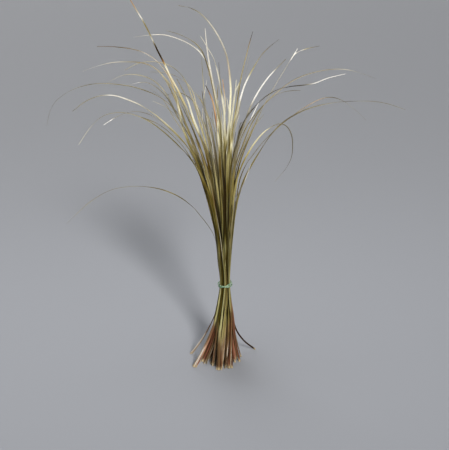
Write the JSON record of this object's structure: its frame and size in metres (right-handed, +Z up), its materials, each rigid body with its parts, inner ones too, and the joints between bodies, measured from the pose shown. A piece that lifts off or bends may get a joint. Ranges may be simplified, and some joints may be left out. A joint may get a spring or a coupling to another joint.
{
  "type": "bunch of bear grass",
  "caption": "Tied bunch of long, narrow, arching grass leaves standing upright on its splayed cut ends.",
  "frame": {"origin": "on the floor in the middle of the foot, where the middle leaf's cut end stands; it is the bottom centre of the box to within a few millimetres", "axes": "+Z up along the middle leaf, +Y away from the viewer, +X to the viewer's right"},
  "size_m": [0.716, 0.6103, 0.7413],
  "materials": {
    "leaf": "dry satin leaf, olive to straw yellow, with pale ribs and a pink-brown to maroon foot",
    "elastic": "soft mint green rubber with a dull sheen"
  },
  "bodies": {
    "root": {"left_leaf_01": "leaf", "left_leaf_02": "leaf", "left_leaf_03": "leaf", "left_leaf_04": "leaf", "left_leaf_05": "leaf", "left_leaf_06": "leaf", "left_leaf_07": "leaf", "left_leaf_08": "leaf", "left_leaf_09": "leaf", "left_leaf_10": "leaf", "left_leaf_11": "leaf", "left_leaf_12": "leaf", "left_leaf_13": "leaf", "left_leaf_14": "leaf", "left_leaf_15": "leaf", "left_leaf_16": "leaf", "left_leaf_17": "leaf", "left_leaf_18": "leaf", "left_leaf_19": "leaf", "left_leaf_20": "leaf", "left_leaf_21": "leaf", "left_leaf_22": "leaf", "left_leaf_23": "leaf", "left_leaf_24": "leaf", "middle_leaf_01": "leaf", "middle_leaf_02": "leaf", "middle_leaf_03": "leaf", "middle_leaf_04": "leaf", "middle_leaf_05": "leaf", "middle_leaf_06": "leaf", "middle_leaf_07": "leaf", "middle_leaf_08": "leaf", "middle_leaf_09": "leaf", "middle_leaf_10": "leaf", "middle_leaf_11": "leaf", "middle_leaf_12": "leaf", "middle_leaf_13": "leaf", "middle_leaf_14": "leaf", "middle_leaf_15": "leaf", "middle_leaf_16": "leaf", "right_leaf_01": "leaf", "right_leaf_02": "leaf", "right_leaf_03": "leaf", "right_leaf_04": "leaf", "right_leaf_05": "leaf", "right_leaf_06": "leaf", "right_leaf_07": "leaf", "right_leaf_08": "leaf", "right_leaf_09": "leaf", "right_leaf_10": "leaf", "front_leaf_01": "leaf", "front_leaf_02": "leaf", "front_leaf_03": "leaf", "front_leaf_04": "leaf", "back_leaf_01": "leaf", "back_leaf_02": "leaf", "back_leaf_03": "leaf", "back_leaf_04": "leaf", "elastic_band": "elastic"}
  },
  "joints": []
}
